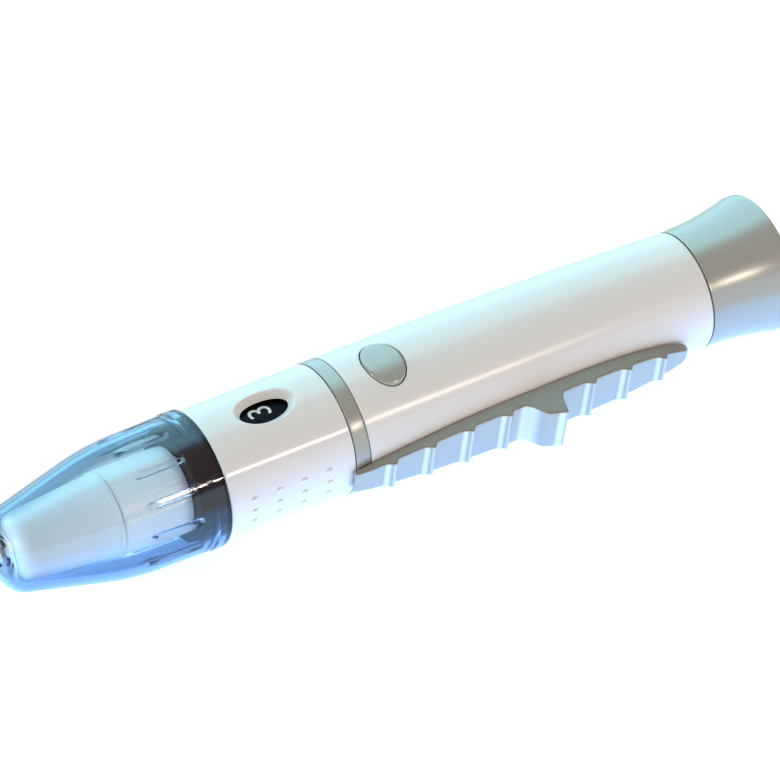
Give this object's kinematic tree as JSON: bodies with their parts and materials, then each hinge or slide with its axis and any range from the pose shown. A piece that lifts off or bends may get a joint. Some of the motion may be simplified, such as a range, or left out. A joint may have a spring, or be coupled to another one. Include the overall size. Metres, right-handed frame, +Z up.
{
  "type": "lancing device",
  "caption": "Finger-prick lancing pen with clear pull-off cap, depth sleeve, trigger button, ribbed ejector slide and flared cocking knob.",
  "frame": {"origin": "on the floor, under the middle of the pen's bounding box, with the pen lying as it comes to rest", "axes": "+X along the pen from the cap's nose to the cocking knob, +Z up, the ejector slide towards -Y and down"},
  "size_m": [0.1008, 0.0206, 0.0167],
  "materials": {
    "clear_cap": "clear, faintly blue, glossy moulded plastic",
    "white_shell": "glossy white moulded plastic",
    "black_drum": "glossy black moulded plastic",
    "silver_trim": "satin silver-grey lacquered plastic",
    "natural_plastic": "uncoloured matte engineering plastic",
    "spring_steel": "bright drawn spring wire"
  },
  "bodies": {
    "barrel": {"barrel": "white_shell", "chassis": "natural_plastic", "trim_ring": "silver_trim", "depth_drum": "black_drum", "click_ring": "spring_steel", "nose_tube": "white_shell", "rear_bush": "natural_plastic", "sear_pin": "spring_steel", "drive_spring": "spring_steel", "return_spring": "spring_steel", "knob_spring": "spring_steel", "sear_spring": "spring_steel", "ejector_spring": "spring_steel"},
    "end_cap": {"end_cap": "clear_cap", "cap_liner": "white_shell"},
    "depth_sleeve": {"depth_sleeve": "white_shell"},
    "button": {"trigger_button": "silver_trim"},
    "sear": {"sear_lever": "natural_plastic"},
    "knob": {"cocking_knob": "silver_trim", "knob_end_plate": "silver_trim", "knob_stem": "natural_plastic", "knob_screw": "spring_steel"},
    "carrier": {"lancet_carrier": "natural_plastic", "plunger_rod": "natural_plastic"},
    "ejector": {"ejector_slide": "silver_trim", "ejector_pusher": "natural_plastic"}
  },
  "joints": [
    {"name": "cap_pull", "type": "slide", "parent": "barrel", "child": "end_cap", "axis": [-1, 0, 0], "range_m": [0, 0.012]},
    {"name": "depth_turn", "type": "hinge", "parent": "barrel", "child": "depth_sleeve", "pos_m": [-0.01705, 0.00193, 0.00835], "axis": [1, 0, 0], "range_deg": [-60, 60]},
    {"name": "button_press", "type": "slide", "parent": "barrel", "child": "button", "axis": [0, 0.471, -0.8821], "range_m": [0, 0.0007], "stiffness_N_per_m": 400, "deforming": ["sear_spring"]},
    {"name": "sear_rock", "type": "hinge", "parent": "barrel", "child": "sear", "pos_m": [0.00242, 0.00024, 0.01153], "axis": [0, -0.8821, -0.471], "range_deg": [0, 10]},
    {"name": "cock_pull", "type": "slide", "parent": "barrel", "child": "knob", "axis": [1, 0, 0], "range_m": [0, 0.0067], "stiffness_N_per_m": 150, "deforming": ["knob_spring"]},
    {"name": "carrier_slide", "type": "slide", "parent": "knob", "child": "carrier", "axis": [1, 0, 0], "range_m": [0, 0.0067], "stiffness_N_per_m": 200, "deforming": ["drive_spring", "return_spring"]},
    {"name": "eject_slide", "type": "slide", "parent": "barrel", "child": "ejector", "axis": [-1, 0, 0], "range_m": [0, 0.005], "stiffness_N_per_m": 60, "deforming": ["ejector_spring"]}
  ],
  "couplings": [
    {"joint": "sear_rock", "follows": "button_press", "rad_per_m": 243.9}
  ]
}
